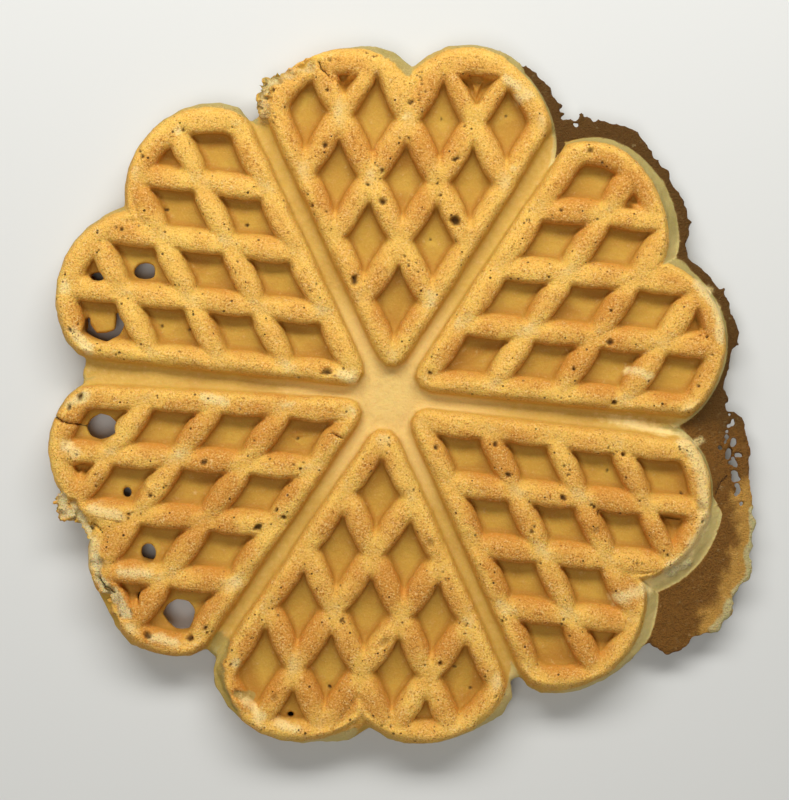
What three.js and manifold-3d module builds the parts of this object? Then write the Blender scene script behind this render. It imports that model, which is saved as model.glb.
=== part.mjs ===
// A heart waffle: one round of six hearts, baked between the two ribbed plates of a
// waffle iron. Both faces carry raised ribs that box in deep cells, and a thin web of
// batter is left between the cells of the two faces. Batter that ran out between the
// plates on one side has baked into a thin brown flash.
//
// Frame: millimetres, +Z up. The waffle lies on the flat crests of its lower ribs at
// z = 0. +Y runs along the heart at the top, and the origin lies under the middle of
// the waffle's box.

import * as THREE from 'three';
import { mergeVertices } from 'three/addons/utils/BufferGeometryUtils.js';
import Module from 'manifold-3d';

const wasm = await Module();
wasm.setup();

// ---------------------------------------------------------------- driving dimensions

const THICKNESS = 12.2; // from the rib crests of one face to those of the other
const WEB = 2.6; // what is left between the cell floors of the two faces
const HUB = new THREE.Vector2(-5.13, -0.51); // centre of the six hearts, seen from the origin

// One heart's lattice of ribs. Its border ribs run along its two straight sides.
const TIP = 9.6; // from the hub to where the middles of the border ribs cross
const CELL_HALF_WIDTH = 9.25; // a cell is a rhombus between the middles of its ribs
const CELL_HALF_LENGTH = 16.35;
// The whole cells of a heart, counted in rib spaces from its left and right borders.
const WHOLE_CELLS = [[0, 0], [0, 1], [1, 0], [1, 1], [0, 2], [2, 0], [1, 2], [2, 1]];
const LAST_RIB = 3; // the last rib from a border; past it the rim cuts the cells short

// A rib's half width at a height above the cell floor.
const RIB_PROFILE = [
  { half: 3.8, height: 0 },
  { half: 2.6, height: 3.7 },
  { half: 2.1, height: 4.5 },
  { half: 1.3, height: 4.8 },
];

// The rib round a lobe follows an arc about this point of the heart.
const LOBE_ASIDE = 17.0; // from the heart's axis
const LOBE_ALONG = 69.6; // from the hub
const LOBE_RADIUS = 20.6; // to the middle of the rim rib
const OUTER_ARC_STEPS = 8;
const CELL_ARC_STEPS = 4; // along the rim of a cell that the rim cuts short
const CORNER_ROUND = 6.5; // of the rib's middle, where a side passes into the lobe
const CORNER_STEPS = 2;
const TIP_ROUND = 1.2; // of the middles of the border ribs at the heart's tip
const TIP_STEPS = 3;

// The rim bulges from its shoulders down to the seam, where the plates met. There the
// batter stands out by SKIRT all round, and by SKIRT_DRIFT more on one side, less on
// the other, because it was poured off centre.
const SKIRT = 2.7;
const SKIRT_DRIFT = 1.7;
const SKIRT_DRIFT_ANGLE = 4.8; // degrees from +X
const SKIRT_BULGE = [
  { height: 3.7, skirt: 0 },
  { height: 1.9, skirt: 0.6 },
  { height: 0.2, skirt: 0.92 },
  { height: -WEB / 2, skirt: 1 }, // the seam, half the web below the cell floor
];

const GROOVE_END = 85.0; // from the hub to the end of the grooves between the hearts
const GROOVE_END_ROUND = 0.9;
const GROOVE_END_STEPS = 36; // round the whole waffle

// Each heart as baked: its turn from an even sixth, its shift aside and outward, its
// own breadth and length, and how much further its left and right lobes reach and
// their skirts bulge.
const HEARTS = [
  { angle: 90, turn: 1.2, aside: 0.4, out: 0.2,
    broad: 0.985, long: 1.03, reach: [-1.8, -0.1], bulge: [0, 0.3] },
  { angle: 30, turn: 1.0, aside: -0.2, out: 1.1,
    broad: 1.02, long: 0.987, reach: [-2.0, -0.7], bulge: [1.2, 0] },
  { angle: -30, turn: -0.8, aside: 0.1, out: 0.7,
    broad: 1.005, long: 0.986, reach: [0.8, 2.2], bulge: [1.8, 0] },
  { angle: -90, turn: -0.6, aside: 0.3, out: 0.8,
    broad: 1.0, long: 0.98, reach: [1.1, 3.4], bulge: [0, 0.8] },
  { angle: 210, turn: 0.1, aside: 0.8, out: 0.2,
    broad: 0.995, long: 1.01, reach: [2.2, -1.4], bulge: [0, 0] },
  { angle: 150, turn: -0.9, aside: -0.1, out: 1.2,
    broad: 0.99, long: 1.008, reach: [0, 0.8], bulge: [0, 0] },
];
const LEFT = 0;
const RIGHT = 1;

// The flash: a narrow ragged band past the seam over FLASH_SECTOR, and a broad flap
// whose outer edge is given by its angle and its distance from the hub.
const FLASH_THICKNESS = 1.4;
const FLASH_RAGGED = 0.8;
const FLASH_SECTOR = [-2, 72]; // degrees
const FLASH_SECTOR_STEPS = 18;
const FLASH_BRIDGE = 89.5; // it closes the gaps between the hearts out to here
const FLASH_BANDS = [
  { heart: 0, band: [0.6, 1.3] }, // past the skirts of the left and the right lobe
  { heart: 1, band: [2.6, 1.4] },
];
const FLAP_ROOT = [[-38.2, 82], [-15, 82], [0, 82], [10, 82]]; // inside the hearts' skirts
const FLAP_EDGE = [
  [10, 84], [7, 92], [4, 94], [1.5, 99.5], [-2, 101.5], [-6, 102.5], [-9.5, 104.5],
  [-14, 107.5], [-18.5, 109.5], [-21.5, 112], [-24.5, 110], [-27.5, 112.5],
  [-30.5, 111.5], [-33.5, 108], [-36, 107.5], [-37.8, 105], [-38.2, 98], [-35, 91],
];
// The row of small holes where the flap has begun to crack, long along the row.
const FLAP_CRACK = [[1.2, 96.6], [-2.2, 97.2], [-4.2, 96.2], [-5.6, 98.6], [-7.8, 99.3], [-10, 101]];
const FLAP_CRACK_HALF = [0.75, 1.5];
const FLAP_CRACK_STEPS = 7;

// Holes where the batter didn't fill the web, as ovals: the heart, the place in it
// (aside, along), the half sizes and the turn.
const WEB_HOLES = [
  { heart: 5, at: [-10.8, 73.6], half: [3.3, 2.4], turn: -54 },
  { heart: 5, at: [-19.5, 83.2], half: [2.1, 1.4], turn: -54 },
  { heart: 4, at: [26.2, 73.8], half: [4.4, 3.8], turn: 65 },
  { heart: 4, at: [6.2, 75.8], half: [1.2, 1.5], turn: 65 },
  { heart: 4, at: [-11.2, 77.5], half: [2.2, 2.5], turn: 65 },
  { heart: 4, at: [-29.5, 76.6], half: [4.5, 4.0], turn: 65 },
  { heart: 4, at: [-21.1, 84.8], half: [0.9, 1.7], turn: 65 },
  { heart: 3, at: [18.6, 89.6], half: [1.1, 0.9], turn: 0 },
];
// One hole is a crescent: a tongue of batter hangs into it from the rib above.
const TONGUE_HOLE = { heart: 5, at: [-29.2, 74.6], half: [5.9, 4.5], turn: -54 };
const TONGUE = { heart: 5, at: [-27.8, 75.6], half: [3.9, 4.6], turn: -54 };
const OVAL_STEPS = 9;
const OVAL_RAGGED = 0.12; // of the half size

// Bites out of the rim where it crumbled: angle and distance from the hub, height and
// radius of each.
const BITES = [
  { angle: 112.6, out: 94.6, z: 12.0, radius: 2.8 },
  { angle: 109.4, out: 97.8, z: 12.2, radius: 2.8 },
  { angle: -172.0, out: 92.0, z: 12.8, radius: 2.6 },
  { angle: -155.4, out: 95.0, z: 12.4, radius: 3.6 },
  { angle: -139.5, out: 99.4, z: 10.6, radius: 4.2 },
  { angle: -135.8, out: 100.8, z: 10.2, radius: 4.4 },
  { angle: -132.2, out: 101.6, z: 10.8, radius: 3.6 },
  { angle: -117.6, out: 91.6, z: 11.6, radius: 3.4 },
  { angle: -114.8, out: 94.6, z: 11.6, radius: 3.8 },
  { angle: -112.0, out: 97.0, z: 11.6, radius: 3.6 },
];
// Crumbs and flakes that cling to the rim.
const CRUMBS = [
  { angle: 117.0, out: 88.4, z: 8.6, radius: 3.0 },
  { angle: 114.4, out: 90.6, z: 8.4, radius: 2.6 },
  { angle: -157.2, out: 94.4, z: 6.6, radius: 2.8 },
  { angle: -154.8, out: 93.2, z: 7.0, radius: 2.6 },
  { angle: -160.0, out: 92.6, z: 5.8, radius: 2.0 },
  { angle: -171.8, out: 91.2, z: 6.2, radius: 1.8 },
];
const LUMP_RAGGED = 0.18; // of the radius

const OVER = 1.0; // a cutter runs this far past the face that it cuts
const WELD = 1e-4; // corners nearer than this are one
const SEED = 20;

// ---------------------------------------------------------------- derived values

const MIDDLE = THICKNESS / 2; // height of the seam
const FLOOR = WEB / 2; // of a face's cells, above or below the seam
const CREST = THICKNESS / 2; // of its ribs, above or below the seam
const RIB_SHOULDER = RIB_PROFILE[1].half;
const SIDE_ANGLE = Math.atan2(CELL_HALF_WIDTH, CELL_HALF_LENGTH); // a side, from the axis
const SIDE_COS = Math.cos(SIDE_ANGLE);
const SIDE_SIN = Math.sin(SIDE_ANGLE);
const CELL_PITCH = 2 * CELL_HALF_WIDTH * SIDE_COS; // between the middles of two ribs
const FACES = [1, -1]; // the upper and the lower face

const radians = THREE.MathUtils.degToRad;

// A repeatable draw from -1 to 1.
THREE.MathUtils.seededRandom(SEED);
function draw() {
  return 2 * THREE.MathUtils.seededRandom() - 1;
}

// ---------------------------------------------------------------- solids

// A copy whose neighbouring faces share their corners.
function welded(geometry) {
  const bare = geometry.clone();
  bare.deleteAttribute('normal');
  bare.deleteAttribute('uv');
  return mergeVertices(bare, WELD);
}

function toSolid(geometry) {
  const skin = welded(geometry);
  return new wasm.Manifold(new wasm.Mesh({
    numProp: 3,
    vertProperties: new Float32Array(skin.attributes.position.array),
    triVerts: new Uint32Array(skin.index.array),
  }));
}

function toGeometry(solid) {
  const mesh = solid.getMesh();
  const geometry = new THREE.BufferGeometry();
  geometry.setAttribute('position', new THREE.BufferAttribute(mesh.vertProperties, 3));
  geometry.setIndex(new THREE.BufferAttribute(mesh.triVerts, 1));
  geometry.computeVertexNormals();
  return geometry;
}

function joined(solids) {
  return solids.reduce((whole, solid) => whole.add(solid));
}

// A closed skin over a stack of levels, each a flat outline of the same number of
// points, counterclockwise, at its height z, from the lowest level to the highest.
function loft(levels) {
  const count = levels[0].outline.length;
  const position = levels.flatMap(({ outline, z }) => outline.flatMap((p) => [p.x, p.y, z]));
  const index = [];
  for (let level = 0; level + 1 < levels.length; level += 1) {
    for (let i = 0; i < count; i += 1) {
      const a = level * count + i;
      const b = level * count + ((i + 1) % count);
      index.push(a, b, b + count, a, b + count, a + count);
    }
  }
  const top = (levels.length - 1) * count;
  for (const [a, b, c] of THREE.ShapeUtils.triangulateShape(levels[0].outline, [])) {
    index.push(a, c, b);
  }
  for (const [a, b, c] of THREE.ShapeUtils.triangulateShape(levels.at(-1).outline, [])) {
    index.push(top + a, top + b, top + c);
  }
  const geometry = new THREE.BufferGeometry();
  geometry.setAttribute('position', new THREE.Float32BufferAttribute(position, 3));
  geometry.setIndex(index);
  return geometry;
}

// A flat plate of the given outline between two heights.
function plate(outline, low, high) {
  const options = { depth: high - low, bevelEnabled: false };
  return new THREE.ExtrudeGeometry(new THREE.Shape(outline), options).translate(0, 0, low);
}

// ---------------------------------------------------------------- places

function polar(angle, out) {
  return new THREE.Vector2(Math.cos(radians(angle)), Math.sin(radians(angle)))
    .multiplyScalar(out)
    .add(HUB);
}

// From a heart's own frame, with y along its axis away from the hub, to the waffle's.
function heartPlacement(heart) {
  const axis = radians(heart.angle + heart.turn);
  const stretch = new THREE.Matrix4().makeScale(heart.broad, heart.long, 1);
  const shift = new THREE.Matrix4().makeTranslation(heart.aside, heart.out, 0);
  const turn = new THREE.Matrix4().makeRotationZ(axis - Math.PI / 2);
  const place = new THREE.Matrix4().makeTranslation(HUB.x, HUB.y, MIDDLE);
  return place.multiply(turn).multiply(shift).multiply(stretch);
}

// ---------------------------------------------------------------- one heart

// Where the line from a point along a direction leaves a circle.
function leavesCircle(point, direction, circle) {
  const from = point.clone().sub(circle.centre);
  const half = from.dot(direction);
  const rest = from.lengthSq() - circle.radius ** 2;
  return point.clone().addScaledVector(direction, -half + Math.sqrt(half ** 2 - rest));
}

// The crossing of the two lobes' circles that lies further from the hub.
function notchBetween(left, right) {
  const between = right.centre.clone().sub(left.centre);
  const span = between.length();
  const foot = (span ** 2 + left.radius ** 2 - right.radius ** 2) / (2 * span);
  const rise = Math.sqrt(left.radius ** 2 - foot ** 2);
  const along = between.divideScalar(span);
  const outward = new THREE.Vector2(-along.y, along.x);
  return left.centre.clone().addScaledVector(along, foot).addScaledVector(outward, rise);
}

// The points of an arc about a circle's centre, counterclockwise, with both its ends.
function arc(circle, from, to, steps, ragged = 0) {
  const start = from.clone().sub(circle.centre).angle();
  const end = to.clone().sub(circle.centre).angle();
  const sweep = THREE.MathUtils.euclideanModulo(end - start, 2 * Math.PI);
  return Array.from({ length: steps + 1 }, (_, i) => {
    const angle = start + (sweep * i) / steps;
    return new THREE.Vector2(Math.cos(angle), Math.sin(angle))
      .multiplyScalar(circle.radius + ragged * draw())
      .add(circle.centre);
  });
}

// The round corner between a side of the heart and a lobe, where hand is 1 on the
// right and -1 on the left: its circle, and where that leaves the side and the lobe.
function roundCorner(tip, side, lobe, hand) {
  const round = CORNER_ROUND + side;
  const along = new THREE.Vector2(hand * SIDE_SIN, SIDE_COS);
  const outward = new THREE.Vector2(hand * SIDE_COS, -SIDE_SIN);
  const inside = tip.clone().addScaledVector(outward, -round);
  const reduced = { centre: lobe.centre, radius: lobe.radius - round };
  const centre = leavesCircle(inside, along, reduced);
  const onSide = centre.clone().addScaledVector(outward, round);
  const fromLobe = centre.clone().sub(lobe.centre);
  const onLobe = lobe.centre.clone().addScaledVector(fromLobe, lobe.radius / reduced.radius);
  return { circle: { centre, radius: round }, onSide, onLobe };
}

// The tip of the heart: round where the outline is far enough out, sharp inside.
function tipPoints(tip, side) {
  const radius = TIP_ROUND + side;
  if (radius <= 0) return [tip];
  const circle = { centre: new THREE.Vector2(0, tip.y + radius / SIDE_SIN), radius };
  const onSide = (hand) => circle.centre.clone()
    .add(new THREE.Vector2(hand * SIDE_COS, -SIDE_SIN).multiplyScalar(radius));
  return arc(circle, onSide(-1), onSide(1), TIP_STEPS);
}

// Which way and how far the skirt drifts, in a heart's own frame.
function skirtDrift(heart) {
  const angle = radians(SKIRT_DRIFT_ANGLE - heart.angle - heart.turn + 90);
  return new THREE.Vector2(Math.cos(angle), Math.sin(angle)).multiplyScalar(SKIRT_DRIFT);
}

// The circle of a lobe at a distance from the middle of its rim rib, for the left lobe
// or, mirrored, for the right one.
function lobeCircle(heart, hand, rim) {
  const centre = new THREE.Vector2(-LOBE_ASIDE, LOBE_ALONG + heart.reach[hand] / 2);
  return { centre, radius: LOBE_RADIUS + heart.reach[hand] / 2 + rim };
}

// A heart's outline, at a distance from the middles of its border ribs (side) and of
// its rim rib (rim), both positive outwards, with a share of the skirt round its lobes.
function heartOutline(heart, { side, rim, skirt = 0, band = [0, 0], steps, ragged = 0 }) {
  const tip = new THREE.Vector2(0, TIP - side / SIDE_SIN);
  const lobe = (hand) => {
    const bulge = skirt * (SKIRT + heart.bulge[hand]);
    const circle = lobeCircle(heart, hand, rim + band[hand] + bulge);
    circle.centre.x *= hand === LEFT ? 1 : -1;
    circle.centre.addScaledVector(skirtDrift(heart), skirt);
    return circle;
  };
  const right = lobe(RIGHT);
  const left = lobe(LEFT);
  const rightCorner = roundCorner(tip, side, right, 1);
  const leftCorner = roundCorner(tip, side, left, -1);
  const notch = notchBetween(left, right);
  return [
    ...tipPoints(tip, side),
    ...arc(rightCorner.circle, rightCorner.onSide, rightCorner.onLobe, CORNER_STEPS).slice(0, -1),
    ...arc(right, rightCorner.onLobe, notch, steps, ragged),
    ...arc(left, notch, leftCorner.onLobe, steps, ragged).slice(1),
    ...arc(leftCorner.circle, leftCorner.onLobe, leftCorner.onSide, CORNER_STEPS).slice(1),
  ];
}

function ribHalf(height) {
  const upper = Math.max(1, RIB_PROFILE.findIndex((p) => p.height >= height));
  const [a, b] = [RIB_PROFILE[upper - 1], RIB_PROFILE[upper]];
  const share = Math.max(0, (height - a.height) / (b.height - a.height));
  return THREE.MathUtils.lerp(a.half, b.half, share);
}

// The heart without its cells: flat crests, rounded shoulders, the skirt to the seam.
function heartBlock(heart) {
  const aboveShoulder = RIB_PROFILE.slice(2).reverse();
  const rounding = aboveShoulder.map(({ half, height }) => ({ height, rim: half, skirt: 0 }));
  const down = [...rounding, ...SKIRT_BULGE];
  const level = ({ height, rim = RIB_SHOULDER, skirt }, face) => ({
    z: face * (FLOOR + height),
    outline: heartOutline(heart, { side: ribHalf(height), rim, skirt, steps: OUTER_ARC_STEPS }),
  });
  const lower = down.slice(0, -1).map((step) => level(step, -1));
  const upper = down.map((step) => level(step, 1)).reverse();
  return toSolid(loft([...lower, ...upper]).applyMatrix4(heartPlacement(heart)));
}

// ---------------------------------------------------------------- its cells

// A point of the heart's lattice, counted in rib spaces from its two borders.
function latticePoint(fromLeft, fromRight) {
  return new THREE.Vector2(
    (fromLeft - fromRight) * CELL_HALF_WIDTH,
    TIP + (fromLeft + fromRight) * CELL_HALF_LENGTH,
  );
}

function wholeCell([left, right]) {
  return (half) => {
    const inset = half / CELL_PITCH;
    const [l0, l1, r0, r1] = [left + inset, left + 1 - inset, right + inset, right + 1 - inset];
    return [[l0, r0], [l1, r0], [l1, r1], [l0, r1]].map(([l, r]) => latticePoint(l, r));
  };
}

// The two cells that a lobe's rim cuts short, worked out for the left lobe.
function cornerCell(heart, hand) {
  return (half) => {
    const inset = half / CELL_PITCH;
    const rim = lobeCircle(heart, hand, -half);
    const near = latticePoint(inset, LAST_RIB + inset);
    const far = latticePoint(1 - inset, LAST_RIB + inset);
    const tip = new THREE.Vector2(0, TIP + half / SIDE_SIN);
    const corner = roundCorner(tip, -half, rim, -1);
    const onRim = leavesCircle(far, new THREE.Vector2(-SIDE_SIN, SIDE_COS), rim);
    return [
      near,
      far,
      ...arc(rim, onRim, corner.onLobe, CELL_ARC_STEPS),
      ...arc(corner.circle, corner.onLobe, corner.onSide, CORNER_STEPS).slice(1),
    ];
  };
}

function rimCell(heart, hand) {
  return (half) => {
    const inset = half / CELL_PITCH;
    const rim = lobeCircle(heart, hand, -half);
    const near = latticePoint(1 + inset, LAST_RIB + inset);
    const right = leavesCircle(near, new THREE.Vector2(SIDE_SIN, SIDE_COS), rim);
    const left = leavesCircle(near, new THREE.Vector2(-SIDE_SIN, SIDE_COS), rim);
    return [near, ...arc(rim, right, left, CELL_ARC_STEPS)];
  };
}

function mirrored(outlineAt) {
  return (half) => outlineAt(half).map((p) => new THREE.Vector2(-p.x, p.y)).reverse();
}

// The cells of one heart on one face, widening upwards between the flanks of the ribs.
function cells(heart, face) {
  const outlines = [
    ...WHOLE_CELLS.map(wholeCell),
    cornerCell(heart, LEFT),
    rimCell(heart, LEFT),
    mirrored(cornerCell(heart, RIGHT)),
    mirrored(rimCell(heart, RIGHT)),
  ];
  const steps = [...RIB_PROFILE, { half: RIB_PROFILE.at(-1).half, height: CREST - FLOOR + OVER }];
  return outlines.map((outlineAt) => {
    const levels = steps.map(({ half, height }) => ({
      z: face * (FLOOR + height),
      outline: outlineAt(half),
    }));
    const geometry = loft(face > 0 ? levels : levels.reverse());
    return toSolid(geometry.applyMatrix4(heartPlacement(heart)));
  });
}

// ---------------------------------------------------------------- between the hearts

// The web of batter that joins the hearts: the floors of the grooves and the hub.
function web() {
  const round = GROOVE_END_ROUND;
  const profile = [
    new THREE.Vector2(0, -FLOOR),
    new THREE.Vector2(GROOVE_END - round, -FLOOR),
    new THREE.Vector2(GROOVE_END, -FLOOR + round),
    new THREE.Vector2(GROOVE_END, FLOOR - round),
    new THREE.Vector2(GROOVE_END - round, FLOOR),
    new THREE.Vector2(0, FLOOR),
  ];
  const disc = new THREE.LatheGeometry(profile, GROOVE_END_STEPS).rotateX(Math.PI / 2);
  return toSolid(disc.translate(HUB.x, HUB.y, MIDDLE));
}

// ---------------------------------------------------------------- the flash

function flashSheet(outline) {
  return toSolid(plate(outline, MIDDLE - FLASH_THICKNESS / 2, MIDDLE + FLASH_THICKNESS / 2));
}

// The narrow band past the skirts of the hearts on the side that overflowed.
function flashBand() {
  const around = FLASH_BANDS.map(({ heart: index, band }) => {
    const heart = HEARTS[index];
    const outline = heartOutline(heart, {
      side: RIB_PROFILE[0].half,
      rim: RIB_SHOULDER,
      skirt: 1,
      band,
      steps: 2 * OUTER_ARC_STEPS,
      ragged: FLASH_RAGGED,
    });
    const level = (z) => ({ outline, z });
    const sheet = loft([level(-FLASH_THICKNESS / 2), level(FLASH_THICKNESS / 2)]);
    return toSolid(sheet.applyMatrix4(heartPlacement(heart)));
  });
  const reach = Array.from({ length: FLASH_SECTOR_STEPS + 1 }, (_, i) =>
    THREE.MathUtils.lerp(...FLASH_SECTOR, i / FLASH_SECTOR_STEPS));
  const wedge = (out, ragged) =>
    flashSheet([HUB, ...reach.map((angle) => polar(angle, out + ragged * draw()))]);
  const pastAll = 2 * GROOVE_END;
  return joined([...around, wedge(FLASH_BRIDGE, FLASH_RAGGED)]).intersect(wedge(pastAll, 0));
}

function flashFlap() {
  const outer = [];
  FLAP_EDGE.forEach(([angle, out], i) => {
    outer.push(polar(angle, out));
    const next = FLAP_EDGE[i + 1];
    if (next) {
      const half = polar((angle + next[0]) / 2, (out + next[1]) / 2);
      outer.push(half.add(new THREE.Vector2(draw(), draw()).multiplyScalar(FLASH_RAGGED / 2)));
    }
  });
  const root = FLAP_ROOT.map(([angle, out]) => polar(angle, out));
  const flap = flashSheet([...outer, ...root].reverse());
  const holes = FLAP_CRACK.map(([angle, out]) =>
    oval(polar(angle, out), FLAP_CRACK_HALF, angle, FLAP_CRACK_STEPS));
  return flap.subtract(joined(holes));
}

// ---------------------------------------------------------------- holes, bites, crumbs

// An uneven oval that runs through the whole waffle.
function oval(at, [halfX, halfY], turn, steps = OVAL_STEPS) {
  const outline = Array.from({ length: steps }, (_, i) => {
    const angle = (2 * Math.PI * i) / steps;
    const size = 1 + OVAL_RAGGED * draw();
    return new THREE.Vector2(halfX * size * Math.cos(angle), halfY * size * Math.sin(angle))
      .rotateAround(new THREE.Vector2(), radians(turn))
      .add(at);
  });
  return toSolid(plate(outline, -OVER, THICKNESS + OVER));
}

function inHeart({ heart, at, half, turn }) {
  const place = new THREE.Vector3(at[0], at[1], 0).applyMatrix4(heartPlacement(HEARTS[heart]));
  return oval(new THREE.Vector2(place.x, place.y), half, turn + HEARTS[heart].angle - 90);
}

function webHoles() {
  return joined([...WEB_HOLES.map(inHeart), inHeart(TONGUE_HOLE).subtract(inHeart(TONGUE))]);
}

// An uneven lump, used for a bite and for a crumb alike.
function lump({ angle, out, z, radius }) {
  const ball = welded(new THREE.IcosahedronGeometry(radius, 0));
  const position = ball.attributes.position;
  for (let i = 0; i < position.count; i += 1) {
    const size = 1 + LUMP_RAGGED * draw();
    position.setXYZ(i, position.getX(i) * size, position.getY(i) * size, position.getZ(i) * size);
  }
  const at = polar(angle, out);
  return toSolid(ball.translate(at.x, at.y, z));
}

// ---------------------------------------------------------------- the waffle

function waffleSolid() {
  const baked = joined([web(), ...HEARTS.map(heartBlock), flashBand(), flashFlap()]);
  const hollows = FACES.flatMap((face) => HEARTS.flatMap((heart) => cells(heart, face)));
  return baked
    .subtract(joined(hollows))
    .subtract(webHoles())
    .subtract(joined(BITES.map(lump)))
    .add(joined(CRUMBS.map(lump)));
}

const crust = new THREE.MeshStandardMaterial({ color: 0xdca456, roughness: 0.85, metalness: 0 });

const waffle = new THREE.Mesh(toGeometry(waffleSolid()), crust);
waffle.name = 'waffle';

const group = new THREE.Group();
group.add(waffle);

export default group;
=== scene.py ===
"""A heart waffle: one round of golden crust over soft crumb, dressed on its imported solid.

The solid gives every main form. Here its skin is laid on a fine net and worked as the
iron and the batter leave it: ribs that swell between their crossings, pores, cracks,
crumbled rims and a crisp brown overflow. Lengths are in millimetres, and places are in
the part's own frame, with the height z measured from the surface the waffle lies on.
"""

import itertools
import math

import bmesh
import bpy
import numpy as np
from mathutils import Matrix, Vector, kdtree
from mathutils.bvhtree import BVHTree


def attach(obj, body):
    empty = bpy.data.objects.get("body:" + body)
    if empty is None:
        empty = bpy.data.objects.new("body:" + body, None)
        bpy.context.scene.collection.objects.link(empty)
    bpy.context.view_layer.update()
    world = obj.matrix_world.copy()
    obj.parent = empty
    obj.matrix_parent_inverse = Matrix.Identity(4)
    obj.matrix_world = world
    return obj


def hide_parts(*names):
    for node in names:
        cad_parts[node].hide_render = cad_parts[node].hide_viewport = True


MM = 0.001
SEED = 7  # of every random draw

# ------------------------------------------------------------------ the waffle's measures

THICKNESS = 12.2
MIDDLE = THICKNESS / 2  # height of the seam, where the iron's plates meet
FLOOR = 1.3  # of the cells, above and below the seam
HUB = np.array([-5.13, -0.51])

TIP = 9.6  # from the hub to where a heart's border ribs cross
CELL_HALF_WIDTH = 9.25
CELL_HALF_LENGTH = 16.35
CELL_PITCH = 2 * CELL_HALF_WIDTH * math.cos(math.atan2(CELL_HALF_WIDTH, CELL_HALF_LENGTH))
LOBE_ASIDE = 17.0
LOBE_ALONG = 69.6
LOBE_RADIUS = 20.6
LOBE_BEGINS = -10.2  # along, from a lobe's centre to where it leaves the side
RIB_FOOT = 3.8  # half the width of a rib at the cell floor
RIB_SHOULDER = 2.6

# Each heart: its axis in degrees, its shift aside and outward, its breadth and length,
# how much further its left and right lobes reach and their skirts stand out, and how
# brown its ribs are.
HEARTS = [
    {
        "axis": 91.2, "shift": (0.4, 0.2), "stretch": (0.985, 1.03), "reach": (-1.8, -0.1),
        "bulge": (0, 0.3), "brown": 0.4,
    },
    {
        "axis": 31.0, "shift": (-0.2, 1.1), "stretch": (1.02, 0.987), "reach": (-2.0, -0.7),
        "bulge": (1.2, 0), "brown": 0.5,
    },
    {
        "axis": -30.8, "shift": (0.1, 0.7), "stretch": (1.005, 0.986), "reach": (0.8, 2.2),
        "bulge": (1.8, 0), "brown": 0.55,
    },
    {
        "axis": -90.6, "shift": (0.3, 0.8), "stretch": (1.0, 0.98), "reach": (1.1, 3.4),
        "bulge": (0, 0.8), "brown": 0.6,
    },
    {
        "axis": -149.9, "shift": (0.8, 0.2), "stretch": (0.995, 1.01), "reach": (2.2, -1.4),
        "bulge": (0, 0), "brown": 0.65,
    },
    {
        "axis": 149.1, "shift": (-0.1, 1.2), "stretch": (0.99, 1.008), "reach": (0, 0.8),
        "bulge": (0, 0), "brown": 0.35,
    },
]
SKIRT = 2.7  # how far the rim stands out at the seam
SKIRT_DRIFT = np.array([1.69, 0.14])  # how much further it stands out to one side

NET = 0.4  # spacing of the fine net
TRIANGLES = 190_000
WELD = 0.001

# Ribs swell between their crossings and draw in at them, and their crests are domed.
SWELL = 0.4
PINCH = 0.6
SWELL_UPWARD = 0.2  # the share of it that goes up and not aside
DOME = 0.42  # how far a crest falls away at its shoulders
SADDLE = 0.8  # how far a crossing lies below the crests
SADDLE_HALF = 2.3
NOTCH_DENT = 0.8
FLAP_TOP = 0.75  # of the flap of overflow, above the seam
SHELF = 2.8  # how far below the crests the skirt begins there
SHELF_REACH = 1.7  # how far in from the rim rib's shoulder that shelf reaches
SKIRT_REACH = 8  # how far past that shoulder the skirt can be drawn in
LEAN = np.array([0.08, -1.0])  # of the upper crests, from the iron being opened
CREST_SLACK = 0.15  # how far the crust's grain may stand above the crests

# How uneven each kind of crust is: waves as height, length and seed.
WAVES = [(0.24, 8.0, 1), (0.17, 3.4, 2)]
FINE_WAVES = [(0.1, 1.4, 3), (0.1, 0.8, 7)]
FLOOR_WAVES = [(0.09, 12.0, 4)]
SKIRT_WAVES = [(0.35, 5.5, 17)]
CRISP_WAVES = [(0.2, 1.7, 5), (0.12, 0.9, 6)]
CRUMB_WAVES = [(0.5, 1.9, 12), (0.7, 1.1, 13)]
RAGGED_WAVES = [(0.7, 2.4, 8), (0.3, 1.1, 9)]
WANDERING = [(0.7, 2.2, 31), (0.3, 0.9, 32)]
SMOOTHING = 5  # passes that round the net's steps off

# A waffle lifted from its iron is never quite regular: places where it was pulled, how
# far there, and over what reach each fades.
PULLS = [
    (-47, -73, 0.3, -1.7, 26), (-5, -73, -0.3, -0.5, 26), (37, -73, 0.1, -0.7, 26),
    (-68, -37, -0.2, 0.9, 26), (-26, -37, 0, -0.3, 26), (16, -37, 0.6, 0, 26),
    (58, -37, -0.2, 0.1, 26), (-89, -1, 0.1, -1.2, 26), (-5, -1, -0.4, 0, 26),
    (37, -1, 0.4, -0.5, 26), (79, -1, -0.8, -1.0, 26), (-26, 36, -0.3, -0.1, 26),
    (16, 36, 0.6, 0.6, 26), (58, 36, 0.1, -0.4, 26), (-47, 72, -0.2, 0.3, 26),
    (-5, 72, 0.2, -0.9, 26), (37, 72, 0.1, 0.3, 26), (46, 71, 1.2, 1.8, 11),
    (-38, 81, -1.0, 1.2, 8), (-18, 95, 0, 1.6, 9), (12, 96, 0, 1.6, 10), (68, 47, 1.1, 0, 8),
    (83, 26, 0.9, 0, 9), (74, 8, 0.1, -0.9, 9), (84, -29, -0.8, -0.2, 10),
    (58, -58, 0, -0.8, 9), (-78, -63, 1.7, 1.7, 5), (-40, -80, 0.7, -0.8, 9),
]
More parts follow.
